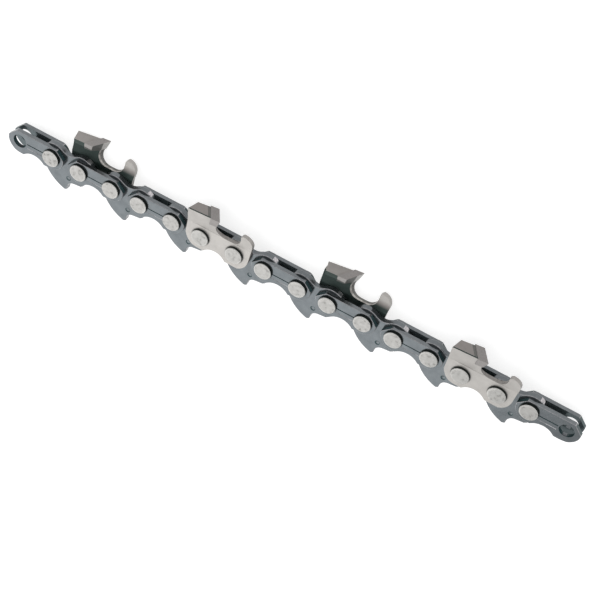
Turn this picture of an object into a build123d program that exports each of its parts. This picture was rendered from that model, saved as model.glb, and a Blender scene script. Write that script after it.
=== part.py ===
"""Straight run of carbide-tipped saw chain, lying on its side. Sizes in mm.

+X is the way the chain travels, +Y is the cutting side and +Z is the right-hand side.
The origin is below the middle rivet line, on the surface that the chain lies on.
"""
import os
from math import acos, ceil, cos, radians, sin, tan

from build123d import *

os.makedirs("parts", exist_ok=True)

# Driving dimensions of the chain
pair_pitch = 18.64          # middle of one side pair to the middle of the next: two pitches of 9.32
strap_pitch = 10.0          # rivet spacing in straps and cutters
link_pitch = pair_pitch - strap_pitch
link_thickness = 1.6        # fits the groove of the guide bar
end_gap = 1.44              # between the ends of two straps on the same side of a drive link
strap_thickness = 1.2
side_play = 0.05            # between a drive link and each side plate
half_kerf = 3.9             # middle plane to the outer corner of a cutter
pair_count = 9

# Round stretches are drawn as flats this close to the true arc, because the run repeats them so often
flat_error = 0.04
head_flat_count = 16        # of a rivet head
hole_flat_count = 10        # of a hole that a rivet fills, which the head covers

# Levels from the middle plane outwards
strap_inner = link_thickness / 2 + side_play
strap_outer = strap_inner + strap_thickness

# Rivets
rivet_radius = 1.98
strap_hole_radius = 2.0
link_hole_radius = 2.03     # running clearance of 0.05 on the rivet
head_radius = 2.45
head_height = 0.75

# Tie strap outline: corners of an end, outwards from its rivet, and the arch, from the middle of the rivets
strap_top = 3.1
strap_foot = -3.9
strap_reach = (link_pitch - end_gap) / 2
strap_cheek = (strap_reach - 1.4, -3.1)
strap_end = ((1.2, strap_top), (strap_reach, 0.6), (strap_reach - 0.05, -1.3), strap_cheek, (0.7, strap_foot))
arch_front = 2.8            # the arch of straps and cutters is a little behind the middle
arch_rear = -3.6
arch_crown = -2.4

# Drive link outline, measured from the middle of its two rivets
eye_radius = 3.85
saddle_angle = 55           # where the saddle between the eyes starts, round each eye
saddle_height = 2.3
crest_angle = 50            # a point on each eye's outer arc
tang_angle = 23             # where the tang leaves each eye, below the rivet line
tang_depth = 9.7
heel_corners = ((5.2, -5.5), (4.5, -6.05))
hook_floor = (2.6, -6.3)
hook_hollow = (1.0, -7.0)   # on the hollow arc of the hook
hook_point = (0.5, -8.3)
tang_tip = ((0.45, -9.3), (-0.3, -tang_depth))
tang_belly = (-4.6, -7.25)  # on the rear arc of the tang

# Cutter
nose_gap = 0.74             # between a cutter's front and the strap ahead of it
rear_gap = 0.64             # between a tooth's rear and the strap behind it
base_front = pair_pitch - strap_pitch / 2 - strap_reach - nose_gap
tooth_rear = strap_pitch / 2 + strap_reach + rear_gap - pair_pitch
base_foot = -4.1
front_corners = ((-0.2, 0), (-0.4, -1.5), (-1.3, -3.2), (-2.8, base_foot))     # from the base's front
rear_corners = ((0, -0.6), (0.5, -1.9), (1.5, -3.3), (2.9, base_foot))         # from the tooth's rear
bend_height = 3.5           # above this line the plate leans outwards
plate_thickness = 1.3       # top plate
rear_top = 8.4
rear_reach = 3.2            # outer corner of the top plate, from the middle plane
rear_inner_end = 0.2        # inner end of the top plate, past the middle plane
tooth_front = 0.15
front_top = 9.6
front_reach = 3.72
front_inner_end = 0.55
rear_skew = 1.15            # the inner end of the top plate's rear edge is this far forward
inner_side = 1.0            # further past the middle plane than any top plate
edge_angle = 30             # of the cutting edge, seen from above
rake_angle = 10             # the tooth's front leans back below the edge
file_radius = 3.0           # of the round file that cuts the gullet and the tooth's front
file_rise = 5.0             # of the cut above the round part, past the top of the tooth
file_sweep = 4.8            # forwards from the tooth's corner
gullet_floor = 3.5
gauge_rear = 6.15
gauge_front = 9.5
gauge_top = 8.2
gauge_flat = (6.7, 7.2)     # rear and front of its level top
gauge_shoulder = 7.6
gauge_neck = 6.4
gauge_hollow = (5.5, 4.4)   # on the hollow arc up to its neck
gauge_brow = (8.8, 7.4)     # on the round arc of its front
gauge_chin = 5.2
gauge_lean = 1.0            # how far its top stands outwards
web_rear = -0.5             # plate between tooth and gauge, from which the file leaves the tooth's foot
web_front = 1.6
floor_front = 3.2           # from here the gullet rises to the depth gauge
web_top = 5.6

# Carbide tip
tip_length = 2.6
tip_proud = 0.2
tip_foot = 7.2              # lower edge of the tip on the outer side
tip_inner_foot = 8.1        # lower edge at the inner end of the top plate
tip_step = 0.45             # the lower edge is this far inside the top plate's corner
tip_over = 0.1              # past the inner end of the top plate
tip_seat = 1.8              # middle plane to the inner end of the lower edge
blank_margin = 0.8          # of the block past its front and back before they are cut


def pair_middle(index):
    """Where along the run the middle of a side pair is."""
    return (index - (pair_count - 1) / 2) * pair_pitch


def link_middle(index):
    """Drive link 1 is between side pairs 0 and 1."""
    return pair_middle(index) - pair_pitch / 2


def save(part, name):
    part.label = name
    export_step(part, f"parts/{name}.step")


def level(middle, height):
    """Flat plane of a piece, at a height from the middle plane of the chain."""
    return Plane((middle, 0, half_kerf + height))


def across(position):
    """Upright plane across the chain: sketch x is +Y and sketch y is +Z from the middle plane."""
    return Plane((position, 0, half_kerf), x_dir=(0, 1, 0), z_dir=(1, 0, 0))


def rear_plan(middle):
    """Plane below the top plate at the tooth's rear: sketch y is +Z from the middle plane."""
    return Plane((middle, rear_top - plate_thickness, half_kerf), x_dir=(1, 0, 0), z_dir=(0, -1, 0))


def plate_bottom(side):
    """Height at which a plate of the right (1) or left (-1) side starts its extrusion upwards."""
    return strap_inner if side > 0 else -strap_outer


def bow(start, through, end):
    """Draws an arc through three points as flats."""
    arc = ThreePointArc(start, through, end, mode=Mode.PRIVATE)
    turn = arc.length / arc.radius
    count = ceil(turn / (2 * acos(1 - flat_error / arc.radius)))
    Polyline(*[arc @ (step / count) for step in range(count + 1)])


def rivet_hole(radius):
    """Cuts a hole for a rivet into a plate's sketch."""
    RegularPolygon(radius, hole_flat_count, major_radius=False, mode=Mode.SUBTRACT)


# Rivets: one straight round shank, on which the drive links turn, with a head on each side
def rivet(position, name):
    with BuildPart() as pin:
        with BuildSketch(level(position, -strap_outer)):
            Circle(rivet_radius)
        extrude(amount=2 * strap_outer)
        for side in (1, -1):
            with BuildSketch(Plane((position, 0, half_kerf + side * strap_outer), z_dir=(0, 0, side))):
                RegularPolygon(head_radius, head_flat_count)
            extrude(amount=head_height)
    save(pin.part, name)


# Tie straps: flat plates with cornered ends, an arch below and two rivet holes
def tie_strap(middle, side, name, open_end=0):
    half = strap_pitch / 2
    front = [(half + x, y) for x, y in strap_end] + [(arch_front, strap_foot)]
    rear = [(-half - x, y) for x, y in strap_end] + [(arch_rear, strap_foot)]
    with BuildPart() as strap:
        with BuildSketch(level(middle, plate_bottom(side))):
            with BuildLine():
                Polyline(*reversed(rear), *front)
                bow(front[-1], ((arch_front + arch_rear) / 2, arch_crown), rear[-1])
            make_face()
            for end in (1, -1):
                with Locations((end * half, 0)):
                    if end == open_end:
                        Circle(strap_hole_radius, mode=Mode.SUBTRACT)
                    else:
                        rivet_hole(strap_hole_radius)
        extrude(amount=strap_thickness)
    save(strap.part, name)


# Drive links: two eyes with a saddle between them and a hooked tang that runs in the bar groove
def drive_link(middle, name):
    half = link_pitch / 2

    def on_eye(sign, angle):
        return (sign * (half + eye_radius * cos(radians(angle))), eye_radius * sin(radians(angle)))

    with BuildPart() as link:
        with BuildSketch(level(middle, -link_thickness / 2)):
            with BuildLine():
                bow(on_eye(-1, 180 - saddle_angle), (0, saddle_height), on_eye(1, 180 - saddle_angle))
                bow(on_eye(1, 180 - saddle_angle), on_eye(1, crest_angle), on_eye(1, -tang_angle))
                Polyline(on_eye(1, -tang_angle), *heel_corners, hook_floor)
                bow(hook_floor, hook_hollow, hook_point)
                Polyline(hook_point, *tang_tip)
                bow(tang_tip[-1], tang_belly, on_eye(-1, -tang_angle))
                bow(on_eye(-1, -tang_angle), on_eye(-1, crest_angle), on_eye(-1, 180 - saddle_angle))
            make_face()
            with Locations((-half, 0), (half, 0)):
                rivet_hole(link_hole_radius)
        extrude(amount=link_thickness)
    save(link.part, name)


# Carbide tips: a block across the tooth, cut front and back along the way of the file
def file_way(side):
    """Direction of the file that sharpens a tooth: outwards and forwards."""
    return Vector(sin(radians(edge_angle)), 0, side * cos(radians(edge_angle)))


def file_forward(side):
    """Level direction square to the file, out of the tooth's front."""
    return Vector(cos(radians(edge_angle)), 0, -side * sin(radians(edge_angle)))


def edge_plane(middle, side, position, rake):
    """Plane along the file's way through the outer corner of the tooth, facing forwards."""
    corner = (middle + position, front_top + tip_proud, half_kerf + side * half_kerf)
    facing = file_forward(side) * cos(radians(rake)) - Vector(0, sin(radians(rake)), 0)
    return Plane(corner, x_dir=file_way(side), z_dir=facing)


def file_plane(middle, side):
    """Plane square to the file: sketch x is forwards from the tooth's corner and sketch y is +Y."""
    corner = (middle + tooth_front, 0, half_kerf + side * half_kerf)
    return Plane(corner, x_dir=file_forward(side), z_dir=file_way(side) * side)


def carbide_tip(middle, side, name):
    length = tooth_front - tooth_rear
    rise = (front_top - rear_top) / length
    inner = front_inner_end + tip_over
    blank_start = tip_length + (half_kerf + inner) * tan(radians(edge_angle)) + blank_margin
    back_up = blank_start * rise
    top = front_top + tip_proud - back_up
    section = [
        (tip_foot - back_up, side * (front_reach - tip_step)),
        (top, side * half_kerf),
        (top, -side * inner),
        (tip_inner_foot - back_up, -side * inner),
        (tip_foot - back_up, side * tip_seat),
    ]
    with BuildPart() as tip:
        with BuildSketch(across(middle + tooth_front - blank_start)):
            Polygon(*section, align=None)
        extrude(amount=blank_start + blank_margin, dir=(1, rise, 0))
        split(bisect_by=edge_plane(middle, side, tooth_front, rake_angle), keep=Keep.BOTTOM)
        split(bisect_by=edge_plane(middle, side, tooth_front - tip_length, 0), keep=Keep.TOP)
    save(tip.part, name)
    return tip.part


# Cutters: a strap-like base, a leaning tooth with its top plate, a file-cut gullet and a depth gauge
def tooth_section(side, top, reach, inner_end):
    under = top - plate_thickness
    lean = (reach - strap_outer) / (top - bend_height)
    wall = strap_inner + lean * (under - bend_height)
    points = [
        (bend_height, strap_inner),
        (bend_height, strap_outer),
        (top, reach),
        (top, -inner_end),
        (under, -inner_end),
        (under, wall),
    ]
    return [(y, side * z) for y, z in points]


def cutter(middle, side, name, tip):
    half = strap_pitch / 2
    front = [(base_front, bend_height), *[(base_front + x, y) for x, y in front_corners], (arch_front, base_foot)]
    rear = [(tooth_rear, bend_height), *[(tooth_rear + x, y) for x, y in rear_corners], (arch_rear, base_foot)]
    gauge_section = [
        (bend_height, strap_inner),
        (bend_height, strap_outer),
        (gauge_top, strap_outer + gauge_lean),
        (gauge_top, strap_inner + gauge_lean),
    ]
    flat_rear, flat_front = [(x, gauge_top) for x in gauge_flat]
    with BuildPart() as gauge:
        with BuildSketch(across(middle + web_rear)):
            Polygon(*[(y, side * z) for y, z in gauge_section], align=None)
        extrude(amount=gauge_front - web_rear)
        with BuildSketch(level(middle, 0)):
            with BuildLine():
                Polyline(flat_front, flat_rear, (gauge_rear, gauge_shoulder), (gauge_rear, gauge_neck))
                bow((gauge_rear, gauge_neck), gauge_hollow, (floor_front, gullet_floor))
                Polyline((floor_front, gullet_floor), (web_front, gullet_floor), (web_front, web_top))
                Polyline((web_front, web_top), (web_rear, web_top), (web_rear, 0), (base_front, 0))
                Polyline((base_front, 0), (base_front, bend_height), (gauge_front, gauge_chin))
                bow((gauge_front, gauge_chin), gauge_brow, flat_front)
            make_face()
        extrude(amount=half_kerf, both=True, mode=Mode.INTERSECT)

    rake = radians(rake_angle)
    tangent_height = gullet_floor + file_radius * (1 + sin(rake))
    tangent = -(front_top + tip_proud - tangent_height) * tan(rake)
    overhead = tangent_height + file_rise
    with BuildPart() as body:
        with BuildSketch(level(middle, plate_bottom(side))):
            with BuildLine():
                Polyline(*reversed(rear), *front)
                bow(front[-1], ((arch_front + arch_rear) / 2, arch_crown), rear[-1])
            make_face()
            with Locations((-half, 0), (half, 0)):
                rivet_hole(strap_hole_radius)
        extrude(amount=strap_thickness)

        with BuildSketch(across(middle + tooth_rear)):
            Polygon(*tooth_section(side, rear_top, rear_reach, rear_inner_end), align=None)
        with BuildSketch(across(middle + tooth_front)):
            Polygon(*tooth_section(side, front_top, front_reach, front_inner_end), align=None)
        loft()

        with BuildSketch(rear_plan(middle)):
            inner = -side * inner_side
            Polygon((tooth_rear, side * rear_reach), (tooth_rear + rear_skew, inner), (tooth_rear, inner), align=None)
        extrude(amount=-2 * plate_thickness, mode=Mode.SUBTRACT)

        add(gauge.part)

        with BuildSketch(file_plane(middle, side)):
            with Locations((tangent + file_radius * cos(rake), gullet_floor + file_radius)):
                Circle(file_radius)
            Polygon(
                (tangent, tangent_height),
                (tangent + file_rise * tan(rake), overhead),
                (file_sweep, overhead),
                (file_sweep, gullet_floor + file_radius),
                (tangent + file_radius * cos(rake), gullet_floor + file_radius),
                align=None,
            )
        extrude(amount=2 * half_kerf, both=True, mode=Mode.SUBTRACT)

        add(tip, mode=Mode.SUBTRACT)
    save(body.part, name)


# The run: plain pairs alternate with left and right cutters
cutter_sides = {1: -1, 3: 1, 5: -1, 7: 1}
side_names = {1: "right", -1: "left"}

open_ends = {0: -1, pair_count - 1: 1}     # the outer holes of the run, where a joining rivet goes

for index in range(pair_count):
    middle = pair_middle(index)
    for side in (1, -1):
        if cutter_sides.get(index) == side:
            hand = side_names[side]
            tip = carbide_tip(middle, side, f"{hand}_carbide_tip_{index}")
            cutter(middle, side, f"{hand}_cutter_{index}", tip)
        else:
            tie_strap(middle, side, f"{side_names[side]}_tie_strap_{index}", open_ends.get(index, 0))

for index in range(1, pair_count):
    drive_link(link_middle(index), f"drive_link_{index}")
    rivet(link_middle(index) - link_pitch / 2, f"rivet_{2 * index - 1:02d}")
    rivet(link_middle(index) + link_pitch / 2, f"rivet_{2 * index:02d}")
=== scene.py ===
# %% [markdown]
# This lesson dresses a run of carbide-tipped saw chain that lies on its side.
# The solids come from the CAD frame, in metres, and their places are never changed here.
# Each plate is finished from a copy of its solid, because the copy keeps the true outline and holes,
# and the rivets are made new, because riveting rounds and marks their heads.

# %% Load the frame
from math import cos, pi, radians, sin

import bmesh
import bpy
from mathutils import Matrix, Vector


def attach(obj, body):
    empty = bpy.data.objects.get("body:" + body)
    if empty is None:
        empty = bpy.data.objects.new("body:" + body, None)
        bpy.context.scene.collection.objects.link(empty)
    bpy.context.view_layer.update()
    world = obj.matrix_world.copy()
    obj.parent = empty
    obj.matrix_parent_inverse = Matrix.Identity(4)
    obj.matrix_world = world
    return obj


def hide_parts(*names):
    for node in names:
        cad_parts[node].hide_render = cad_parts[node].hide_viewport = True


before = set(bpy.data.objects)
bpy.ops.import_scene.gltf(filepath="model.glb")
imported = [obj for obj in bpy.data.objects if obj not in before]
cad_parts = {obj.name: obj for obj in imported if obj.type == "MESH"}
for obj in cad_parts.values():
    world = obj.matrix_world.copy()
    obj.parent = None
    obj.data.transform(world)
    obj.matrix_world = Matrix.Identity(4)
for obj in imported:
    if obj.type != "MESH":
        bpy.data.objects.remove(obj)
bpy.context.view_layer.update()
mm = 0.001

# %% [markdown]
# The chain repeats every two pitches: a pair of side plates, a drive link, the next pair.
# A few sizes from the part's source are needed again to know where each piece sits along X.
# The middle plane of the chain is at the height of half the cut that it makes.

# %% Sizes of the chain
pair_pitch = 18.64 * mm
strap_pitch = 10.0 * mm
link_pitch = pair_pitch - strap_pitch
link_thickness = 1.6 * mm
strap_outer = 2.05 * mm  # from the middle plane to the outer face of a strap
middle_height = 3.9 * mm
pair_count = 9
side_signs = {"right": 1, "left": -1}
cutter_pairs = {"left": (1, 5), "right": (3, 7)}


def pair_middle(index):
    return (index - (pair_count - 1) / 2) * pair_pitch


def link_middle(index):
    return pair_middle(index) - pair_pitch / 2


print("first pair in mm:", round(pair_middle(0) / mm, 2))
print("last pair in mm:", round(pair_middle(pair_count - 1) / mm, 2))

# %% [markdown]
# Every material below is a small node tree. One function adds a node: an input is given a value or is
# linked from another node's output, and a colour ramp is given its stops.
# Another turns a colour from sRGB hex, as painters write it, to the linear values of light.
# Textures read Object coordinates, which are metres, so a mapping turns them to millimetres.

# %% Helpers for node trees
def linear(text):
    """Linear colour of an sRGB hex value, by the formula of the sRGB standard."""
    parts = [int(text[at:at + 2], 16) / 255 for at in (1, 3, 5)]
    light = [part / 12.92 if part <= 0.04045 else ((part + 0.055) / 1.055) ** 2.4 for part in parts]
    return (*light, 1)


def add(tree, kind, inputs=(), stops=(), **settings):
    """Adds a node with its settings, and gives each input its value or its link."""
    node = tree.nodes.new(kind)
    for name, value in settings.items():
        setattr(node, name, value)
    for socket, source in dict(inputs).items():
        if isinstance(source, bpy.types.NodeSocket):
            tree.links.new(source, node.inputs[socket])
        else:
            node.inputs[socket].default_value = source
    for at, (position, colour) in enumerate(stops):
        stop = node.color_ramp.elements[at] if at < 2 else node.color_ramp.elements.new(position)
        stop.position = position
        stop.color = linear(colour)
    return node


def material_start(name):
    """New material with an empty tree, its shader and coordinates in millimetres."""
    made = bpy.data.materials.new(name)
    made.use_nodes = True
    tree = made.node_tree
    tree.nodes.clear()
    shader = add(tree, "ShaderNodeBsdfPrincipled")
    add(tree, "ShaderNodeOutputMaterial", {"Surface": shader.outputs["BSDF"]})
    place = add(tree, "ShaderNodeTexCoord").outputs["Object"]
    millimetres = add(tree, "ShaderNodeMapping", {"Vector": place, "Scale": (1 / mm,) * 3})
    return made, tree, shader, millimetres.outputs["Vector"]


def surface(tree, shader, colour, texture, roughness, relief=0.0, depth=mm):
    """Gives a shader its colour, and by a texture its roughness and its relief, if it has one."""
    tree.links.new(colour.outputs["Result"], shader.inputs["Base Color"])
    height = texture.outputs["Fac"]
    spread = {"Value": height, "To Min": roughness[0], "To Max": roughness[1]}
    rough = add(tree, "ShaderNodeMapRange", spread)
    tree.links.new(rough.outputs["Result"], shader.inputs["Roughness"])
    if relief:
        bump = add(tree, "ShaderNodeBump", {"Height": height, "Strength": relief, "Distance": depth})
        tree.links.new(bump.outputs["Normal"], shader.inputs["Normal"])


print("white in linear light:", linear("#ffffff")[:3])

# %% [markdown]
# A dark ring of painted shade fades outwards around each rivet's head, and widens the dark crescent beside
# the head.
# The ring could be painted on the mesh, but a plate has no edges there, so the material works it out.
# It wraps X by the pitch, because all pairs are alike, and measures the distance from a rivet's axis.
# The outer holes of the two end pairs hold no rivet, so they get no ring.

# %% Painted shade around the rivet heads
head_edge = 2.42  # mm from a rivet's axis, just under the rim of its head
ring_shade_width = 0.4  # mm, the painted shade fades out over this width around a head
# colour of the painted shade around the heads
ring_shade_colour = linear("#262b2b")


def painted_shade_near_rivets(tree, where):
    """How much painted shade a plate gets: 1 under a rivet's head, and less across a narrow ring around it.
    """
    spot = add(tree, "ShaderNodeSeparateXYZ", {"Vector": where}).outputs
    half_pitch = pair_pitch / 2 / mm
    wrapped = {0: spot["X"], 1: half_pitch, 2: -half_pitch}
    in_pair = add(tree, "ShaderNodeMath", wrapped, operation="WRAP").outputs["Value"]
    aside = add(tree, "ShaderNodeMath", {0: in_pair}, operation="ABSOLUTE").outputs["Value"]
    from_axis = {0: aside, 1: strap_pitch / 2 / mm}
    along = add(tree, "ShaderNodeMath", from_axis, operation="SUBTRACT").outputs["Value"]
    flat = add(tree, "ShaderNodeCombineXYZ", {"X": along, "Y": spot["Y"]}).outputs["Vector"]
    away = add(tree, "ShaderNodeVectorMath", {0: flat}, operation="LENGTH").outputs["Value"]
    ring = {"Value": away, "From Min": head_edge + ring_shade_width, "From Max": head_edge}
    ring_shade_share = add(tree, "ShaderNodeMapRange", ring).outputs["Result"]
    reach = add(tree, "ShaderNodeMath", {0: spot["X"]}, operation="ABSOLUTE").outputs["Value"]
    inside_run = {0: reach, 1: pair_middle(pair_count - 1) / mm}
    riveted = add(tree, "ShaderNodeMath", inside_run, operation="LESS_THAN").outputs["Value"]
    return add(tree, "ShaderNodeMath", {0: ring_shade_share, 1: riveted}, operation="MULTIPLY").outputs["Value"]


print("oil reaches", round(head_edge + ring_shade_width, 2), "mm from a rivet's axis")

# %% [markdown]
# Blued steel: tie straps and drive links are punched from spring steel and then blackened in hot salts.
# Tumbling rubs faces and edges to a satin slate grey, and bare metal shows where plates slide.
# The black is an oxide, so it mirrors less than the rubbed metal, and it stays where nothing rubs.
# The plates carry two numbers at the corners of their faces: tone, from black to rubbed, which also paints
# some shade, and bright, from coated to bare, which also paints highlights and glints.

# %% Blued steel
blued_steel, tree, shader, where = material_start("blued_spring_steel")
tone = add(tree, "ShaderNodeAttribute", attribute_name="tone").outputs["Fac"]
bright = add(tree, "ShaderNodeAttribute", attribute_name="bright").outputs["Fac"]
cloud_size = 2.5  # mm, soft patches left by the salt bath
cloud = add(tree, "ShaderNodeTexNoise", {"Vector": where, "Scale": 1 / cloud_size, "Detail": 4})
grain_size = 0.35  # mm, tumbling marks, drawn coarser than the real tenth so that they show
grain = add(tree, "ShaderNodeTexNoise", {"Vector": where, "Scale": 1 / grain_size, "Detail": 3})
patches = {"Fac": cloud.outputs["Fac"]}
black = add(tree, "ShaderNodeValToRGB", patches, ((0.3, "#213b3e"), (0.7, "#2c4b4e")))
satin = add(tree, "ShaderNodeValToRGB", patches, ((0.3, "#5f6467"), (0.7, "#6b7073")))
coats = {"Factor": tone, "A": black.outputs["Color"], "B": satin.outputs["Color"]}
coat = add(tree, "ShaderNodeMix", coats, data_type="RGBA").outputs["Result"]
bare_spots = {"Value": grain.outputs["Fac"], "From Min": 0.2, "From Max": 0.65}
patch = add(tree, "ShaderNodeMapRange", bare_spots)
wear_and_glint = add(tree, "ShaderNodeMath", {0: bright, 1: patch.outputs["Result"]}, operation="MULTIPLY")
# Bare steel, and the painted highlights and glints, take this pale colour.
wear_and_highlight = {"Factor": wear_and_glint.outputs["Value"], "A": coat, "B": linear("#d2cdcf")}
steel = add(tree, "ShaderNodeMix", wear_and_highlight, data_type="RGBA").outputs["Result"]
# A ring of painted shade around each rivet's head.
ring_shade_mix = {"Factor": painted_shade_near_rivets(tree, where), "A": steel, "B": ring_shade_colour}
colour = add(tree, "ShaderNodeMix", ring_shade_mix, data_type="RGBA")
surface(tree, shader, colour, grain, roughness=(0.13, 0.25), relief=0.1, depth=0.05 * mm)
metal = add(tree, "ShaderNodeMapRange", {"Value": tone, "To Min": 0.1, "To Max": 0.85})
tree.links.new(metal.outputs["Result"], shader.inputs["Metallic"])
print("made", blued_steel.name)

# %% [markdown]
# Bare steel: cutters are ground and left unblackened on the outside, so that face is a pale silver.
# The top plate keeps a grey-brown scale from the brazing heat, darkest beside the tip,
# and the inner face stays dark. The gullet's wall is filed: grey and even on right-hand cutters,
# and on left-hand ones with file marks, painted with a highlight on its inner half and with shade on its
# outer half.

# %% Cutter steel
cutter_steel, tree, shader, where = material_start("brazed_cutter_steel")
tone = add(tree, "ShaderNodeAttribute", attribute_name="tone").outputs["Fac"]
bright = add(tree, "ShaderNodeAttribute", attribute_name="bright").outputs["Fac"]
cloud = add(tree, "ShaderNodeTexNoise", {"Vector": where, "Scale": 1 / cloud_size, "Detail": 5})
speckle_size = 0.4  # mm, grit marks of the tumbling
speckle = add(tree, "ShaderNodeTexNoise", {"Vector": where, "Scale": 1 / speckle_size, "Detail": 2})
cutter_stops = ((0.0, "#313d3a"), (1.0, "#b5b2ae"), (0.5, "#8b8683"))
base = add(tree, "ShaderNodeValToRGB", {"Fac": tone}, cutter_stops).outputs["Color"]
uneven = {"Value": cloud.outputs["Fac"], "To Min": 0.82, "To Max": 1.12}
patchy = add(tree, "ShaderNodeMapRange", uneven).outputs["Result"]
shades = {"Factor": 1, "A": base, "B": patchy}
shade = add(tree, "ShaderNodeMix", shades, data_type="RGBA", blend_type="MULTIPLY").outputs["Result"]
stroke_size = 0.8  # mm, marks of the file
stroke = add(tree, "ShaderNodeTexNoise", {"Vector": where, "Scale": 1 / stroke_size, "Detail": 3})
marks = {"Value": stroke.outputs["Fac"], "From Min": 0.38, "From Max": 0.6}
patch = add(tree, "ShaderNodeMapRange", marks).outputs["Result"]
filed_and_highlit = add(tree, "ShaderNodeMath", {0: bright, 1: patch}, operation="MULTIPLY").outputs["Value"]
# File marks, painted bright where a highlight falls.
filing_and_highlight = {"Factor": filed_and_highlit, "A": shade, "B": linear("#c6c3be")}
steel = add(tree, "ShaderNodeMix", filing_and_highlight, data_type="RGBA").outputs["Result"]
# A ring of painted shade around each rivet's head.
ring_shade_mix = {"Factor": painted_shade_near_rivets(tree, where), "A": steel, "B": ring_shade_colour}
colour = add(tree, "ShaderNodeMix", ring_shade_mix, data_type="RGBA")
surface(tree, shader, colour, speckle, roughness=(0.34, 0.55), relief=0.15, depth=0.05 * mm)
shader.inputs["Metallic"].default_value = 0.65
print("made", cutter_steel.name)

# %% [markdown]
# Bright steel: the rivets are cold-headed by a spinning tool, which leaves pale satin heads
# with a few darker marks where the tool or another chain touched them.
# The rim is rubbed and painted with a highlight, brightest, the outer ring of the face a little, and the
# wall below is painted dark as shade.
# All of that goes by the distance from the middle plane, which also finds the ring of the hollow face.

# %% Rivet steel
rivet_steel, tree, shader, where = material_start("spun_rivet_steel")
mark_size = 0.9  # mm, marks of the heading tool
mark = add(tree, "ShaderNodeTexNoise", {"Vector": where, "Scale": 1 / mark_size, "Detail": 4})
face_stops = ((0.28, "#7d7c79"), (0.75, "#aeadaa"), (0.42, "#a1a09d"))
face = add(tree, "ShaderNodeValToRGB", {"Fac": mark.outputs["Fac"]}, face_stops).outputs["Color"]
height = add(tree, "ShaderNodeSeparateXYZ", {"Vector": where}).outputs["Z"]
above = add(tree, "ShaderNodeMath", {0: height, 1: middle_height / mm}, operation="SUBTRACT")
away = add(tree, "ShaderNodeMath", {0: above.outputs["Value"]}, operation="ABSOLUTE").outputs["Value"]
wall_top = 2.68  # mm from the middle plane, as are the next two; the wall painted dark as shade ends
rim_top = 2.77  # the rubbed rim with its painted highlight ends
ring_start = 2.795  # the rubbed and highlighted outer ring of the face starts
wall_fade = 0.05  # mm, over which the painted shade ends
rim_fade = 0.03  # mm, over which the rim ends
ring_fade = 0.004  # mm, over which the ring starts
ring_rub_and_highlight = 0.22  # how much the ring is rubbed and highlighted, where the rim is 1
rim = add(tree, "ShaderNodeMapRange", {"Value": away, "From Min": rim_top, "From Max": rim_top - rim_fade})
ring_range = {"Value": away, "From Min": ring_start, "From Max": ring_start + ring_fade, "To Max": ring_rub_and_highlight}
ring = add(tree, "ShaderNodeMapRange", ring_range)
rubs_and_highlights = {0: rim.outputs["Result"], 1: ring.outputs["Result"]}
# The rim and the face's outer ring: rubbed steel with a painted highlight.
rub_and_highlight = add(tree, "ShaderNodeMath", rubs_and_highlights, operation="MAXIMUM").outputs["Value"]
heads = {"Factor": rub_and_highlight, "A": face, "B": linear("#e9e8e5")}
headed = add(tree, "ShaderNodeMix", heads, data_type="RGBA").outputs["Result"]
# The wall below the head is painted dark as shade.
wall_range = {"Value": away, "From Min": wall_top - wall_fade, "From Max": wall_top}
above_wall_shade = add(tree, "ShaderNodeMapRange", wall_range)
wall_shade = {"Factor": above_wall_shade.outputs["Result"], "A": linear("#303634"), "B": headed}
colour = add(tree, "ShaderNodeMix", wall_shade, data_type="RGBA")
surface(tree, shader, colour, mark, roughness=(0.42, 0.3), relief=0.15, depth=0.06 * mm)
shader.inputs["Metallic"].default_value = 0.7
print("made", rivet_steel.name)

# %% [markdown]
# Cemented carbide: the tips are pressed and sintered powder, a dull grey-brown with a fine even grain.
# Grinding leaves the cutting front paler, and its outer half stays so. The rest of the front,
# and the inner end low down, are painted dark as shade.

# %% Carbide
carbide, tree, shader, where = material_start("sintered_carbide")
powder_size = 0.3  # mm, drawn coarser than the real grain so that it shows
powder = add(tree, "ShaderNodeTexNoise", {"Vector": where, "Scale": 1 / powder_size, "Detail": 3})
carbide_stops = ((0.3, "#8f8a88"), (0.7, "#9f9b99"))
pressed = add(tree, "ShaderNodeValToRGB", {"Fac": powder.outputs["Fac"]}, carbide_stops)
tone = add(tree, "ShaderNodeAttribute", attribute_name="tone").outputs["Fac"]
bright = add(tree, "ShaderNodeAttribute", attribute_name="bright").outputs["Fac"]
grinding = {"Factor": bright, "A": pressed.outputs["Color"], "B": linear("#c4c3c0")}
ground = add(tree, "ShaderNodeMix", grinding, data_type="RGBA").outputs["Result"]
# Painted shade darkens the faces whose tone is low.
shade_mix = {"Factor": tone, "A": linear("#3a3d3b"), "B": ground}
colour = add(tree, "ShaderNodeMix", shade_mix, data_type="RGBA")
surface(tree, shader, colour, powder, roughness=(0.4, 0.55))
shader.inputs["Metallic"].default_value = 0.5
print("made", carbide.name)

# %% [markdown]
# A plate is finished from a copy of its solid. The copy's loose triangles are merged and its flat faces
# made whole. The solid has flats where a punched plate has arcs, so each bend between two flats is
# eased to a curve, and then the corners are rounded as tumbling rounds them.
# A rounded corner could be a modifier, but in code the new faces can be told apart and painted bright, as
# wear and as highlight.

# %% Finishing a plate
same_point = 0.002 * mm  # corners that are nearer than this are one corner
same_plane = radians(0.5)  # faces that turn by less than this are one face
upright_play = 0.001 * mm  # an upright edge leans by less than this
least_bend = 2  # degrees, a blunter bend needs no curve
like_flats = 1.8  # of an arc's two flats, the larger is less than this times the other
curve_share = 49  # percent of a flat that the curve at each of its ends takes up
curve_steps = 4
corner_steps = 2
hole_reach = 2.3 * mm  # an edge at a rivet hole is nearer to its axis than this


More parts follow.
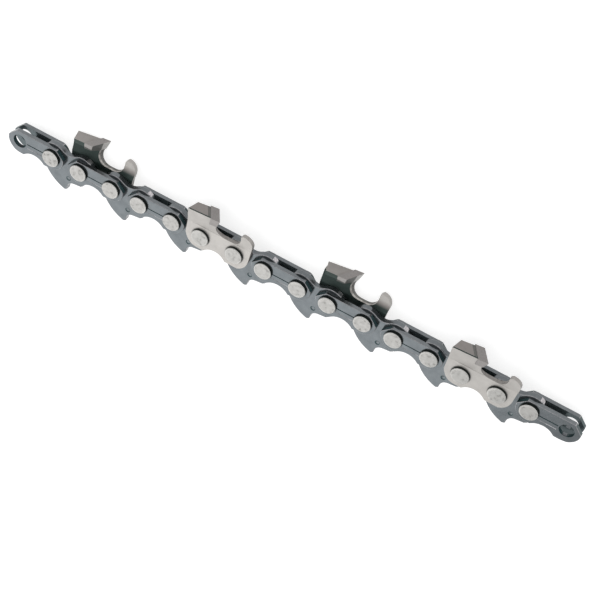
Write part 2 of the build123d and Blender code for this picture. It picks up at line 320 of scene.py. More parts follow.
def plate_copy(node, middle):
    """Copy of a CAD solid, merged, with its own middle at x = 0."""
    shape = bmesh.new()
    shape.from_mesh(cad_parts[node].data)
    bmesh.ops.remove_doubles(shape, verts=shape.verts, dist=same_point)
    bmesh.ops.dissolve_limit(shape, angle_limit=same_plane, verts=shape.verts, edges=shape.edges)
    bmesh.ops.translate(shape, verts=shape.verts, vec=(-middle, 0, 0))
    return shape


def upright(edge):
    """True for an edge that runs through a plate's thickness."""
    return (edge.verts[0].co - edge.verts[1].co).xy.length < upright_play


def near_hole(edge, spacing):
    """True for an edge at a rivet hole, where the holes are a spacing apart."""
    point = (edge.verts[0].co + edge.verts[1].co) / 2
    return min((point.xy - Vector((sign * spacing / 2, 0))).length for sign in (1, -1)) < hole_reach


def at_strap_hole(edge):
    return near_hole(edge, strap_pitch)


def at_link_hole(edge):
    return near_hole(edge, link_pitch)


def ease_arcs(shape, sharpest, keep):
    """Turns the bends of an outline, up to an angle in degrees, into curves between its flats."""
    bends = []
    for edge in shape.edges:
        if not upright(edge) or keep(edge):
            continue
        if not radians(least_bend) < edge.calc_face_angle() < radians(sharpest):
            continue
        flats = sorted(face.calc_area() for face in edge.link_faces)
        if flats[1] < like_flats * flats[0]:
            bends.append(edge)
    bmesh.ops.bevel(
        shape, geom=bends, offset=curve_share, offset_type="PERCENT",
        segments=curve_steps, profile=0.5, affect="EDGES",
    )


def round_corners(shape, width, sharp, keep):
    """Rounds the edges sharper than an angle in degrees, apart from those that keep() names."""
    edges = [
        edge for edge in shape.edges
        if edge.is_manifold and edge.calc_face_angle() > radians(sharp) and not keep(edge)
    ]
    bmesh.ops.bevel(
        shape, geom=edges, offset=width,
        segments=corner_steps, profile=0.5, affect="EDGES", clamp_overlap=True,
    )


print("a bend becomes a curve of", curve_steps, "steps")

# %% [markdown]
# A finished shape becomes an object whose arcs look smooth while its flat faces stay flat.
# Smooth shading alone would bend the light across a large face, so its border is marked sharp.
# Lines and pits are cut with a Boolean, worked out at once, so that no modifier is left.

# %% Shading and cutting
shading_corner = radians(20)
flat_area = 3 * mm * mm  # a face larger than this is flat


def smooth_arcs(mesh):
    """Smooth shading round the arcs, which stops at corners and at the border of each flat face."""
    mesh.shade_smooth()
    mesh.set_sharp_from_angle(angle=shading_corner)
    borders = {key for face in mesh.polygons if face.area > flat_area for key in face.edge_keys}
    for edge in mesh.edges:
        if edge.key in borders:
            edge.use_edge_sharp = True


def new_object(name, data):
    """Object of some data, put into the scene."""
    made = bpy.data.objects.new(name, data)
    bpy.context.scene.collection.objects.link(made)
    return made


def as_object(name, shape):
    """Object of a finished shape, smooth round its arcs."""
    mesh = bpy.data.meshes.new(name)
    shape.to_mesh(mesh)
    shape.free()
    smooth_arcs(mesh)
    return new_object(name, mesh)


def plain_mesh(piece):
    """Mesh of an object with its modifiers worked out."""
    return bpy.data.meshes.new_from_object(piece.evaluated_get(bpy.context.evaluated_depsgraph_get()))


def cut(piece, tool):
    """Takes the tool's shape out of a piece and removes the tool."""
    step = piece.modifiers.new("cut", "BOOLEAN")
    step.object = tool
    step.solver = "EXACT"
    piece.data = plain_mesh(piece)
    piece.modifiers.remove(step)
    bpy.data.objects.remove(tool)


print("flat faces are above", round(flat_area / mm / mm, 2), "square mm")

# %% [markdown]
# Wear, painted shade and painted highlights are written as the two numbers that the steels read. Each kind
# of plate has a rule that looks at where a face is and where it points, because that decides what rubs on
# it and how light falls on it.
# The numbers sit on the corners of faces, so that a tone can also fade across a face.

# %% Painting the wear, shade and highlights
flat_out = 0.98  # a flat face points outwards by more than this
rim_out = 0.2  # a rounded rim by more than this
rim_wear_and_highlight = 0.4  # how bare the rims of the blued plates are, with a painted highlight


def paint(piece, rule, fade=None):
    """Writes the tone and bright numbers that rule() gives from a face's middle in mm and its normal.

    Where the tone is None, fade() gives it at each of the face's corners.
    """
    mesh = piece.data
    tones, brights = [], []
    for face in mesh.polygons:
        tone, bright = rule(face.center / mm, face.normal)
        for corner in face.vertices:
            tones.append(fade(mesh.vertices[corner].co / mm) if tone is None else tone)
            brights.append(bright)
    for name, numbers in (("tone", tones), ("bright", brights)):
        mesh.attributes.new(name, "FLOAT", "CORNER").data.foreach_set("value", numbers)


print("rims are bare by", rim_wear_and_highlight)

# %% [markdown]
# Pieces that repeat are set out by Geometry Nodes: the host mesh is only a point or two along the run,
# and a tree puts a copy of a finished shape on each. It ends in realised, plain geometry.
# Every plate is a mesh of its own, so that every link can still turn on its rivet.

# %% Trees that copy a shape to points
def tree_start(title, kinds):
    """New geometry tree with an input of each kind, the inputs' identifiers and their sockets."""
    tree = bpy.data.node_groups.new(title, "GeometryNodeTree")
    inputs = {}
    for name, kind in kinds.items():
        made = tree.interface.new_socket(name, in_out="INPUT", socket_type=f"NodeSocket{kind}")
        inputs[name] = made.identifier
    tree.interface.new_socket("Pieces", in_out="OUTPUT", socket_type="NodeSocketGeometry")
    return tree, inputs, add(tree, "NodeGroupInput").outputs


def tree_end(tree, given, shape):
    """Ends a tree with a copy of the shape on each point, made real and given its finish."""
    copies = add(tree, "GeometryNodeInstanceOnPoints", {"Points": given["Points"], "Instance": shape})
    real = add(tree, "GeometryNodeRealizeInstances", {"Geometry": copies.outputs["Instances"]})
    dressed = {"Geometry": real.outputs["Geometry"], "Material": given["Finish"]}
    finish = add(tree, "GeometryNodeSetMaterial", dressed)
    add(tree, "NodeGroupOutput", {"Pieces": finish.outputs["Geometry"]})


plate_kinds = {"Points": "Geometry", "Shape": "Object", "Finish": "Material"}
plate_tree, plate_inputs, given = tree_start("set out along the run", plate_kinds)
shape_info = add(plate_tree, "GeometryNodeObjectInfo", {"Object": given["Shape"]})
tree_end(plate_tree, given, shape_info.outputs["Geometry"])
print("plate tree inputs:", plate_inputs)

# %% [markdown]
# A tree works on an object of bare points through a modifier, and the result is kept as a plain mesh.
# Then the piece is parented to an empty of the body it rides on, and the solid it stands for is hidden.

# %% Setting a shape out
def on_points(name, spots, tree, values):
    """Object that a tree makes on points, with a value for each input's identifier."""
    mesh = bpy.data.meshes.new(name)
    mesh.from_pydata(spots, [], [])
    made = new_object(name, mesh)
    step = made.modifiers.new("set out", "NODES")
    step.node_group = tree
    for socket, value in values.items():
        step[socket] = value
    made.data = plain_mesh(made)
    made.modifiers.remove(step)
    return made


def set_out(name, shape, material, spot, body):
    """Puts a copy of a shape on a spot as a piece that rides on a body, and hides the CAD node it stands
    for.
    """
    values = {plate_inputs["Shape"]: shape, plate_inputs["Finish"]: material}
    piece = on_points(f"finished_{name}", [(spot, 0, 0)], plate_tree, values)
    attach(piece, body)
    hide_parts(name)


print("plate tree nodes:", len(plate_tree.nodes))

# %% [markdown]
# Tie straps: punched plates whose outer rim is a little rounded, with a fine creased line between
# the two rivets and a fainter one below it, which carries a painted highlight. A coining die leaves such a
# line as a V, so each is cut with a prism of that section; the fainter line's walls take the rims' painted
# highlight.

# %% Lines on a tie strap
crease_half = 2.7 * mm  # half the length of a line
crease_width = 0.32 * mm
crease_depth = 0.3 * mm
crease_height = 0.15 * mm  # above the rivet line
light_line_height = -1.2 * mm  # of the fainter line, which carries a painted highlight
light_line_depth = 0.05 * mm
tool_overlap = 0.01 * mm  # how far the prism stands out of the strap


def crease_tool(side, height, depth):
    """Prism with a V section, along X on the outer face of a strap."""
    outer = middle_height + side * strap_outer
    section = [
        (height - crease_width / 2, outer + side * tool_overlap),
        (height + crease_width / 2, outer + side * tool_overlap),
        (height, outer - side * depth),
    ]
    shape = bmesh.new()
    ends = [[shape.verts.new((x, y, z)) for y, z in section] for x in (-crease_half, crease_half)]
    shape.faces.new(ends[0])
    shape.faces.new(reversed(ends[1]))
    for at in range(3):
        following = (at + 1) % 3
        shape.faces.new((ends[0][at], ends[1][at], ends[1][following], ends[0][following]))
    bmesh.ops.recalc_face_normals(shape, faces=shape.faces)
    return as_object("crease_tool", shape)


print("crease in mm:", round(2 * crease_half / mm, 2), "long,", round(crease_depth / mm, 2), "deep")

# %% [markdown]
# A strap's outer face and rim are rubbed, and its inner face keeps about half its black.
# Of its edges, those that face up and to the ends are painted dark as shade, and its two upper corners
# carry a painted highlight.

# %% Wear, shade and highlights of a tie strap
shoulder_low = 2.5 * mm  # the upper corners are above this height
crease_reach = 3  # mm, the lines end nearer to the strap's middle than this
crease_out = 0.1  # a line's walls point outwards by more than this
inner_out = -0.5  # the inner face points outwards by less than this
inner_tone = 0.6
slope_least = 0.25  # a sloping edge points along the chain by more than this
# painted shade on the edges that face up and to the ends
sloping_edge_shade = 0.1
shoulder_slope = 0.66  # an upper corner points along the chain by less than this
# painted highlight on the two upper corners
shoulder_highlight = 0.5
edge_bright = 0.08


def strap_rule(point, normal, side):
    facing = normal.z * side
    if facing > flat_out:
        return 1.0, 0.0
    in_line = abs(point.y - crease_height / mm) < crease_width / mm and abs(point.x) < crease_reach
    if in_line and facing > crease_out:
        return 0.0, 0.0
    # The rim is rubbed and painted with a highlight.
    if facing > rim_out:
        return 1.0, rim_wear_and_highlight
    if facing < inner_out:
        return inner_tone, 0.0
    # Edges that face up and to the ends are painted dark as shade, and the upper corners get a painted
    # highlight.
    if normal.y > 0 and abs(normal.x) > slope_least:
        on_shoulder = point.y > shoulder_low / mm and abs(normal.x) < shoulder_slope
        return (1.0, shoulder_highlight) if on_shoulder else (sloping_edge_shade, 0.0)
    return 1.0, edge_bright


print("a strap's upper corners are above", round(shoulder_low / mm, 2), "mm")

# %% [markdown]
# The outline's arcs are eased first, then the upper corners are rounded, and last the outer rim.
# The lines are cut into the finished rim, and the wear, shade and highlights are painted last, on the faces
# that are then there.

# %% Finishing a tie strap
strap_round = 0.12 * mm
shoulder_round = 0.25 * mm  # of the two upper corners
shoulder_bend = 40  # degrees, an upper corner is sharper than this
strap_bend = 37  # degrees, the sharpest bend of the strap's arcs
rim_bend = 45  # degrees, a plate's rim is sharper than this
on_rim = 0.01 * mm  # an edge of the outer rim is nearer to the outer face than this


def finished_strap(node, middle, side):
    def off_outer_rim(edge):
        outer = middle_height + side * strap_outer
        return any(abs(vert.co.z - outer) > on_rim for vert in edge.verts)

    def off_shoulder(edge):
        return not upright(edge) or edge.verts[0].co.y < shoulder_low

    shape = plate_copy(node, middle)
    ease_arcs(shape, strap_bend, at_strap_hole)
    round_corners(shape, shoulder_round, shoulder_bend, off_shoulder)
    round_corners(shape, strap_round, rim_bend, lambda edge: at_strap_hole(edge) or off_outer_rim(edge))
    strap = as_object(f"{node}_shape", shape)
    cut(strap, crease_tool(side, crease_height, crease_depth))
    cut(strap, crease_tool(side, light_line_height, light_line_depth))
    paint(strap, lambda point, normal: strap_rule(point, normal, side))
    smooth_arcs(strap.data)
    return strap


print("a strap's rim is rounded by", round(strap_round / mm, 2), "mm")

# %% [markdown]
# One strap of each side is copied to every pair that has no cutter there.
# The straps of the two end pairs have an open hole and are finished one by one, because each is used once.

# %% Tie straps
spare_shapes = []  # shapes that are only copied, and are cleared away later
for side_name, side in side_signs.items():
    plain = finished_strap(f"{side_name}_tie_strap_4", pair_middle(4), side)
    spare_shapes.append(plain)
    for index in range(pair_count):
        if index in cutter_pairs[side_name]:
            continue
        name = f"{side_name}_tie_strap_{index}"
        shape = plain
        if index in (0, pair_count - 1):
            shape = finished_strap(name, pair_middle(index), side)
            spare_shapes.append(shape)
        set_out(name, shape, blued_steel, pair_middle(index), f"side_pair_{index}")
print("strap shapes:", len(spare_shapes), "faces each about", len(plain.data.polygons))

# %% [markdown]
# Drive links: plates with two eyes and a hooked tang. Their faces and rims rub in the bar groove,
# and the front eye carries a painted glint at its upper front.
# A small round stamp sits above the tang, as a plain shallow pit with a sloping, blackened wall.
# The pit is cut with a cone, because its wall should catch the light.

# %% Drive links
link_round = 0.16 * mm
link_bend = 32  # degrees, the sharpest bend of the link's arcs
stamp_place = Vector((0.65, -5.25)) * mm
stamp_radius = 0.72 * mm
stamp_slope = 0.26 * mm
stamp_depth = 0.12 * mm
stamp_steps = 24
stamp_reach = 1  # mm from the stamp's middle, past its wall
glint_low, glint_high = 0.33, 0.64  # the painted glint on the eye points forwards by between these
glint_above = 2.0  # mm above the rivet line
link_edge_bright = 0.05

shape = plate_copy("drive_link_4", link_middle(4))
ease_arcs(shape, link_bend, at_link_hole)
round_corners(shape, link_round, rim_bend, at_link_hole)
link_shape = as_object("drive_link_shape", shape)
stamp = bmesh.new()
bmesh.ops.create_cone(
    stamp, cap_ends=True, segments=stamp_steps,
    radius1=stamp_radius - stamp_slope, radius2=stamp_radius + stamp_slope, depth=2 * stamp_depth,
)
stamp_height = middle_height + link_thickness / 2
bmesh.ops.translate(stamp, verts=stamp.verts, vec=(*stamp_place, stamp_height))
cut(link_shape, as_object("stamp_tool", stamp))


def link_rule(point, normal):
    if abs(normal.z) > flat_out:
        return 1.0, 0.0
    if (point.xy - stamp_place / mm).length < stamp_reach:
        return 0.0, 0.0
    # The rim is rubbed and painted with a highlight.
    if abs(normal.z) > rim_out:
        return 1.0, rim_wear_and_highlight
    # A painted glint on the front eye's upper front.
    wear_and_glint = glint_low < normal.x < glint_high and point.x > 0 and point.y > glint_above
    return 1.0, 1.0 if wear_and_glint else link_edge_bright


paint(link_shape, link_rule)
smooth_arcs(link_shape.data)
spare_shapes.append(link_shape)
for index in range(1, pair_count):
    body = f"drive_link_body_{index}"
    set_out(f"drive_link_{index}", link_shape, blued_steel, link_middle(index), body)
print("drive link faces:", len(link_shape.data.polygons))

# %% [markdown]
# Cutters: the tooth's corners are only just broken, because a rounded edge would not cut.
# Faces are told apart by where they are and where they point: outside, top plate, inside and filed.
# A change of colour inside a face needs an edge there, so planes divide the faces first.
# Places are in mm: up from the rivet line, ahead of the pair's middle and out from the middle plane.

# %% Places on a cutter
bend_height = 3.5  # where the tooth starts to lean outwards
bend_band = 0.3  # height of the shaded crease above the bend
bend_rear, bend_front = -8, -1  # the crease lies between these
tooth_lean = 0.233  # how far the tooth leans outwards for each step up
gauge_start = 5.5  # the depth gauge is ahead of this
fade_low, fade_high = 4.6, 6.8  # the dark inside of the depth gauge fades out between these heights
foot_front = 8  # the front edge of the depth gauge's foot is ahead of this
gullet_rear = -2.5  # the gullet's wall lies between this and the depth gauge
gullet_high = 7  # above this, a level face is no part of the gullet
gullet_dip = 0.2  # how far the gullet goes below the bend
gullet_shade_start = 1.35  # where the half of the gullet's wall that is painted with shade starts at the bend
plate_low = 6.5  # a top plate is above this
plate_rear = -9.4
shadow_strip_start = 2.78  # inner side of a top plate's outer edge, painted dark as shadow on right-hand cutters, at its rear
strip_rise = 0.055  # how fast that edge runs outwards towards the front
seat_corner = (-2.45, 3.9)  # along the chain and outwards, the rear corner of a tip's seat
seat_turn = radians(30)  # the seat's rear wall lies across the chain at the angle of the file
braze_band = 0.7  # behind the seat, darkened by the brazing
band_start = seat_corner[0] - braze_band / cos(seat_turn)
split_play = 0.001 * mm  # a corner nearer to a plane than this is on it


def split_at(shape, point, normal):
    """Divides the faces of a shape where a plane crosses them, with the point in mm."""
    parts = [*shape.verts, *shape.edges, *shape.faces]
    place = Vector(point) * mm
    bmesh.ops.bisect_plane(shape, geom=parts, plane_co=place, plane_no=normal, dist=split_play)


def outwards(point, side):
    """Distance in mm of a point from the middle plane, towards a side of the chain."""
    return (point.z - middle_height / mm) * side


print("brazed band starts at", round(band_start, 2), "mm")

# %% [markdown]
# The two hands differ a little in tone, partly their own and partly painted light and shade, so some tones
# are given for each: 1 is the right hand, -1 the left.
# A tone of 0 is dark scale, 0.5 the brown of the top plates and 1 bare steel.

# %% Wear, shade and highlights of a cutter
plate_tones = {1: (0.5, 0.0, 0.25), -1: (0.62, 0.62, 0.57)}  # plate, its outer edge (painted shadow on the right hand), brazed band
gauge_tones = {1: 0.72, -1: 0.88}  # edge of the depth gauge, painted darker as shade on the right hand and lighter as highlight on the left
# a painted highlight on the same edge
gauge_highlight = 0.15
even_gullet = (0.42, 0.2)  # tone and bright of a right-hand gullet's wall
# A left-hand gullet's wall: painted shade on its outer half, a painted highlight over the file marks on its
# inner half.
shaded_gullet = (0.25, 0.15)
highlit_filed_gullet = (0.6, 0.9)
bend_tone = 0.8
foot_tone = 0.85
cutter_edge_tone = 0.7
wall_out = 0.75  # the gullet's wall points out or in by less than this
level_up = 0.97  # a level face points up by more than this
gauge_edge_out = 0.5  # the depth gauge's edge points out or in by less than this
side_out = 0.35  # a cutter's sides point out or in by more than this
plate_up = 0.6  # a top plate points up by more than this
under_up = -0.3  # the underside of a top plate points up by less than this


def plate_rule(point, side):
    plate_tone, edge_shade_tone, band_tone = plate_tones[side]
    out = outwards(point, side)
    # The top plate's outer edge: a painted shadow on right-hand cutters.
    if out > shadow_strip_start + strip_rise * (point.x - plate_rear):
        return edge_shade_tone
    in_band = (point.x - band_start) * cos(seat_turn) > (out - seat_corner[1]) * sin(seat_turn)
    return band_tone if in_band else plate_tone


def gullet_rule(point, side):
    if side > 0:
        return even_gullet
    shaded_half = outwards(point, side) > gullet_shade_start + tooth_lean * (point.y - bend_height)
    return shaded_gullet if shaded_half else highlit_filed_gullet


def cutter_rule(point, normal, side):
    outward = normal.z * side
    in_gullet = gullet_rear < point.x < gauge_start and point.y > bend_height - gullet_dip
    on_gauge = point.x > gauge_start and point.y > fade_low
    if in_gullet and abs(outward) < wall_out and (normal.y < level_up or point.y < gullet_high):
        return gullet_rule(point, side)
    if on_gauge and abs(outward) < gauge_edge_out:
        return gauge_tones[side], gauge_highlight
    if outward > side_out and normal.y < plate_up:
        creased = bend_height < point.y < bend_height + bend_band and bend_rear < point.x < bend_front
        return bend_tone if creased else 1.0, 0.0
    if normal.y > plate_up and point.y > plate_low:
        return plate_rule(point, side), 0.0
    if on_gauge and outward < -side_out:
        return None, 0.0
    if outward < -side_out or point.y > bend_height and normal.y < under_up:
        return 0.0, 0.0
    return foot_tone if point.x > foot_front and point.y > bend_height else cutter_edge_tone, 0.0


def gauge_fade(point):
    return min(1, max(0, (point.y - fade_low) / (fade_high - fade_low)))


print("top plate tones of a right-hand cutter:", plate_tones[1])

# %% [markdown]
# The planes divide the faces after the corners are broken, so a rounded corner is divided with its face.

# %% Finishing a cutter
cutter_round = 0.07 * mm
cutter_bend = 34  # degrees, the sharpest bend of the cutter's arcs
cutter_corner = 40  # degrees, a broken corner is sharper than this


def finished_cutter(node, middle, side):
    plane = middle_height / mm
    shape = plate_copy(node, middle)
    ease_arcs(shape, cutter_bend, at_strap_hole)
    round_corners(shape, cutter_round, cutter_corner, at_strap_hole)
    for height in (bend_height + bend_band, fade_low, fade_high):
        split_at(shape, (0, height, 0), (0, 1, 0))
    split_at(shape, (plate_rear, 0, plane + side * shadow_strip_start), (-strip_rise, 0, side))
    split_at(shape, (0, bend_height, plane + side * gullet_shade_start), (0, -tooth_lean, side))
    band_normal = (cos(seat_turn), 0, -side * sin(seat_turn))
    split_at(shape, (band_start, 0, plane + side * seat_corner[1]), band_normal)
    cutter = as_object(f"{node}_shape", shape)
    paint(cutter, lambda point, normal: cutter_rule(point, normal, side), gauge_fade)
    return cutter


print("a cutter's corners are broken by", round(cutter_round / mm, 2), "mm")

# %% [markdown]
# Carbide tips: small blocks brazed into the seats at the teeth's fronts, with corners that stay sharp.
# The painted shade has straight borders, so planes divide the faces there as well.

# %% Finishing a carbide tip
tip_round = 0.05 * mm
front_shade_edge = 2.0  # mm from the middle plane, where the painted shade on a tip's front ends
end_shade_height = 8.1  # mm, top of the painted shade on a tip's inner end
front_ahead = 0.5  # a tip's front points ahead by more than this
end_out = 0.4  # its ends point out or in by more than this
ground_bright = 0.8
front_shade_tone = 0.2
end_shade_tone = 0.1
# tops of the tips, lighter on the left hand, partly as painted light
tip_top_tones = {1: 0.85, -1: 0.93}
tip_side_tone = 0.9
tip_rest = (0.85, 0.1)  # tone and bright of the other faces


def finished_tip(node, middle, side):
    def tip_rule(point, normal):
        outward = normal.z * side
        if normal.x > front_ahead:
            # The front's inner part is painted dark as shade.
            return 1.0 if outwards(point, side) > front_shade_edge else front_shade_tone, ground_bright
        if normal.y > plate_up:
            return tip_top_tones[side], 0.0
        # The inner end is painted dark as shade, low down.
        if outward < -end_out and point.y < end_shade_height:
            return end_shade_tone, 0.0
        return (tip_side_tone, tip_rest[1]) if outward > end_out else tip_rest

    shape = plate_copy(node, middle)
    round_corners(shape, tip_round, cutter_corner, lambda edge: False)
    split_at(shape, (0, 0, middle_height / mm + side * front_shade_edge), (0, 0, 1))
    split_at(shape, (0, end_shade_height, 0), (0, 1, 0))
    tip = as_object(f"{node}_shape", shape)
    paint(tip, tip_rule)
    return tip


print("a tip's corners are broken by", round(tip_round / mm, 2), "mm")

# %% [markdown]
# The cutters of one hand are alike, so one cutter and one tip of each hand are finished and copied.
# A tip rides on the same body as its cutter, because brazing makes the two one.

# %% Cutters and carbide tips
for side_name, side in side_signs.items():
    first = cutter_pairs[side_name][0]
    cutter_shape = finished_cutter(f"{side_name}_cutter_{first}", pair_middle(first), side)
    tip_shape = finished_tip(f"{side_name}_carbide_tip_{first}", pair_middle(first), side)
    spare_shapes.extend((cutter_shape, tip_shape))
    for index in cutter_pairs[side_name]:
        spot = pair_middle(index)
        body = f"side_pair_{index}"
        set_out(f"{side_name}_cutter_{index}", cutter_shape, cutter_steel, spot, body)
        set_out(f"{side_name}_carbide_tip_{index}", tip_shape, carbide, spot, body)
print("cutter faces:", len(cutter_shape.data.polygons), "tip faces:", len(tip_shape.data.polygons))

# %% [markdown]
# Rivets: a rivet is a turned shape, so one formula gives its radius and height along its section,
# and Geometry Nodes bends a flat grid round the axis by it. The grid's first direction is the section,
# from the middle of the head over its rounded rim, down its wall and in to the shank;
# the second direction goes once round.

# %% Sizes of a rivet
rivet_sizes = {
    "Head radius": 2.45 * mm,
    "Head height": 0.75 * mm,
    "Rim": 0.17 * mm,
    "Dish": 0.02 * mm,
    "Shank radius": 1.98 * mm,
    "Half span": strap_outer,
}
rivet_kinds = {"Points": "Geometry", **dict.fromkeys(rivet_sizes, "Float"), "Finish": "Material"}
rivet_tree, rivet_inputs, given = tree_start("rivets on points", rivet_kinds)
section_parts = ("face", "rim", "wall", "under", "shank")
steps_each = 4
steps_round = 48
grid = add(
    rivet_tree, "GeometryNodeMeshGrid",
    {"Vertices X": len(section_parts) * steps_each + 1, "Vertices Y": steps_round + 1},
)
way = add(rivet_tree, "ShaderNodeSeparateXYZ", {"Vector": grid.outputs["UV Map"]})
print("rivet inputs:", list(rivet_inputs))

# %% [markdown]
# Each row below is one step of arithmetic: a name, an operation and what it works on.
# The first rows find how far the section has gone through each of its parts, from 0 to 1.

# %% Section of a rivet
rows = [("along", "MULTIPLY", way.outputs["X"], len(section_parts))]
for at, part in enumerate(section_parts):
    rows += [
        (f"{part} past", "SUBTRACT", "along", at),
        (f"{part} begun", "MAXIMUM", f"{part} past", 0),
        (part, "MINIMUM", f"{part} begun", 1),
    ]
rows += [
    ("rim turn", "MULTIPLY", "rim", pi / 2),
    ("rim sine", "SINE", "rim turn"),
    ("rim cosine", "COSINE", "rim turn"),
    ("flat radius", "SUBTRACT", "Head radius", "Rim"),
    ("face out", "MULTIPLY", "flat radius", "face"),
    ("rim out", "MULTIPLY", "Rim", "rim sine"),
    ("head out", "ADD", "face out", "rim out"),
    ("overhang", "SUBTRACT", "Head radius", "Shank radius"),
    ("under in", "MULTIPLY", "overhang", "under"),
    ("radius", "SUBTRACT", "head out", "under in"),
    ("top", "ADD", "Half span", "Head height"),
    ("face cubed", "POWER", "face", 3),
    ("hollow share", "SUBTRACT", 1, "face cubed"),
    ("hollow", "MULTIPLY", "Dish", "hollow share"),
    ("rim share", "SUBTRACT", 1, "rim cosine"),
    ("rim drop", "MULTIPLY", "Rim", "rim share"),
    ("wall height", "SUBTRACT", "Head height", "Rim"),
    ("wall drop", "MULTIPLY", "wall height", "wall"),
    ("shank drop", "MULTIPLY", "Half span", "shank"),
    ("below hollow", "SUBTRACT", "top", "hollow"),
    ("below rim", "SUBTRACT", "below hollow", "rim drop"),
    ("below wall", "SUBTRACT", "below rim", "wall drop"),
    ("height", "SUBTRACT", "below wall", "shank drop"),
    ("turn", "MULTIPLY", way.outputs["Y"], 2 * pi),
    ("turn cosine", "COSINE", "turn"),
    ("turn sine", "SINE", "turn"),
    ("x", "MULTIPLY", "radius", "turn cosine"),
    ("y", "MULTIPLY", "radius", "turn sine"),
]
found = {name: given[name] for name in rivet_sizes}
for name, operation, *terms in rows:
    inputs = {at: found[term] if isinstance(term, str) else term for at, term in enumerate(terms)}
    found[name] = add(rivet_tree, "ShaderNodeMath", inputs, operation=operation).outputs["Value"]
print("steps of arithmetic:", len(rows))

# %% [markdown]
# The grid's points move to their places on the turned shape. A copy turned over makes the other head,
# and welding closes the seam, the poles and the joint between the halves.

# %% Tree of the rivets
spot = add(rivet_tree, "ShaderNodeCombineXYZ", {"X": found["x"], "Y": found["y"], "Z": found["height"]})
half = add(
    rivet_tree, "GeometryNodeSetPosition",
    {"Geometry": grid.outputs["Mesh"], "Position": spot.outputs["Vector"]},
)
other = add(
    rivet_tree, "GeometryNodeTransform",
    {"Geometry": half.outputs["Geometry"], "Rotation": (pi, 0, 0)},
)
both = add(rivet_tree, "GeometryNodeJoinGeometry", {"Geometry": half.outputs["Geometry"]})
rivet_tree.links.new(other.outputs["Geometry"], both.inputs["Geometry"])
weld = add(
    rivet_tree, "GeometryNodeMergeByDistance",
    {"Geometry": both.outputs["Geometry"], "Distance": same_point},
)
tree_end(rivet_tree, given, weld.outputs["Geometry"])
print("rivet tree nodes:", len(rivet_tree.nodes))

# %% [markdown]
# Rivet 1 joins the first pair to the first drive link. Each pair holds two, apart from the end pairs.
# One mesh for each pair carries its rivets, because they turn with it.

# %% Rivets
rivet_corner = radians(35)  # shading is smooth over blunter bends
rivet_values = {rivet_inputs[name]: size for name, size in rivet_sizes.items()}
rivet_values[rivet_inputs["Finish"]] = rivet_steel
for index in range(pair_count):
    ends = {2 * index: -1, 2 * index + 1: 1}
    numbers = [number for number in ends if 1 <= number <= 2 * (pair_count - 1)]
    places = [pair_middle(index) + ends[number] * strap_pitch / 2 for number in numbers]
    spots = [(place, 0, middle_height) for place in places]
    piece = on_points(f"finished_rivets_{index}", spots, rivet_tree, rivet_values)
    shape = bmesh.new()
    shape.from_mesh(piece.data)
    bmesh.ops.recalc_face_normals(shape, faces=shape.faces)
    shape.to_mesh(piece.data)
    shape.free()
    piece.data.shade_smooth()
    piece.data.set_sharp_from_angle(angle=rivet_corner)
    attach(piece, f"side_pair_{index}")
    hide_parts(*[f"rivet_{number:02d}" for number in numbers])
print("rivets in the last piece:", numbers)

# %% [markdown]
# The finished shapes have been copied to their places. The first ones ride on no body,
# so they are cleared away.

# %% Clear away the shapes that were only copied
print("shapes to clear away:", len(spare_shapes))
for shape in spare_shapes:
    bpy.data.objects.remove(shape)

# %% [markdown]
# The stage is a plain white floor. A floor lit until it is white would drown the steel in light,
# so it adds a little white of its own for the camera and for reflections, and keeps the shadow.

# %% Floor
floor_half = 2.0  # metres, half of each side
floor_drop = 0.02 * mm  # below the chain, so that the two share no plane
floor_glow = 0.74
floor_mesh = bpy.data.meshes.new("floor")
floor_signs = ((-1, -1), (1, -1), (1, 1), (-1, 1))
corners = [(x * floor_half, y * floor_half, -floor_drop) for x, y in floor_signs]
floor_mesh.from_pydata(corners, [], [(0, 1, 2, 3)])
floor = new_object("floor", floor_mesh)
paper = bpy.data.materials.new("white_paper")
paper.use_nodes = True
tree = paper.node_tree
tree.nodes.clear()
sheet = add(tree, "ShaderNodeBsdfDiffuse", {"Color": linear("#bcbcbc")})
rays = add(tree, "ShaderNodeLightPath").outputs
looks = {0: rays["Is Camera Ray"], 1: rays["Is Glossy Ray"]}
seen = add(tree, "ShaderNodeMath", looks, operation="MAXIMUM")
lift = add(tree, "ShaderNodeMath", {0: seen.outputs["Value"], 1: floor_glow}, operation="MULTIPLY")
glow = add(tree, "ShaderNodeEmission", {"Strength": lift.outputs["Value"]})
both = add(tree, "ShaderNodeAddShader", {0: sheet.outputs["BSDF"], 1: glow.outputs["Emission"]})
add(tree, "ShaderNodeOutputMaterial", {"Surface": both.outputs["Shader"]})
floor_mesh.materials.append(paper)
print("floor is", 2 * floor_half, "m wide")

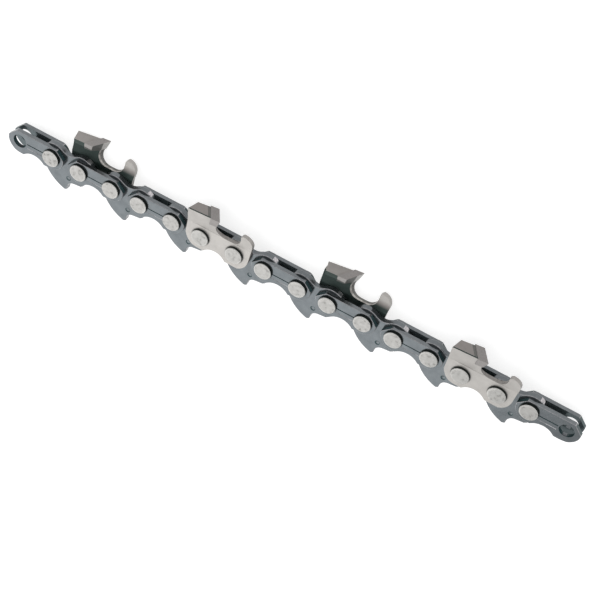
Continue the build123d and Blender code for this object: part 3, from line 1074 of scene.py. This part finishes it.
# %% [markdown]
# The light is soft: an even sky, and one large softbox on the drive links' side of the chain,
# which the satin faces mirror towards the camera. A small lamp would leave hard glints instead.

# %% Light
sky_light = 0.85  # strength of the sky as light
sky_seen = 1.0  # and as the camera sees it
world = bpy.data.worlds.new("studio")
world.use_nodes = True
tree = world.node_tree
tree.nodes.clear()
rays = add(tree, "ShaderNodeLightPath").outputs
levels = {"Factor": rays["Is Camera Ray"], "A": sky_light, "B": sky_seen}
level = add(tree, "ShaderNodeMix", levels, data_type="FLOAT").outputs["Result"]
sky = add(tree, "ShaderNodeBackground", {"Strength": level, "Color": linear("#ffffff")})
add(tree, "ShaderNodeOutputWorld", {"Surface": sky.outputs["Background"]})
bpy.context.scene.world = world
key_size = 0.6  # metres, as is the distance
key_distance = 0.7
key_direction = Vector((-0.35, -0.72, 0.67))
key_radiance = 1.0  # brightness seen straight on
lamp = bpy.data.lights.new("key", "AREA")
lamp.size = key_size
lamp.energy = key_radiance * pi * key_size * key_size
key = new_object("key", lamp)
key.location = key_direction.normalized() * key_distance
key.rotation_mode = "QUATERNION"
key.rotation_quaternion = key_direction.to_track_quat("Z", "Y")
key.visible_camera = False
print("softbox power in W:", round(lamp.energy, 2))

# %% [markdown]
# The camera stands where the photograph was taken from: above the cutting side, turned on its axis
# so that the chain runs from upper left to lower right. Its lens gives the photograph's mild perspective.
# The numbers are a fit to the rivets in the photograph, whose spacing along the chain is known.

# %% Camera
camera_data = bpy.data.cameras.new("camera")
camera = new_object("camera", camera_data)
camera_data.sensor_width = 36  # mm, as is the lens
camera_data.lens = 76.65
camera_data.clip_start = 0.01  # metres
camera_place = Vector((67.83, 228.58, 222.34)) * mm
camera_right = Vector((0.86680, 0.19769, -0.45779))
camera_up = Vector((-0.46105, 0.66749, -0.58472))
camera_back = camera_right.cross(camera_up)
turned = Matrix((camera_right, camera_up, camera_back)).transposed()
camera.matrix_world = Matrix.Translation(camera_place) @ turned.to_4x4()
bpy.context.scene.camera = camera
bpy.context.scene.view_settings.view_transform = "Standard"
print("camera is", round(camera_place.length / mm), "mm from the middle of the run")
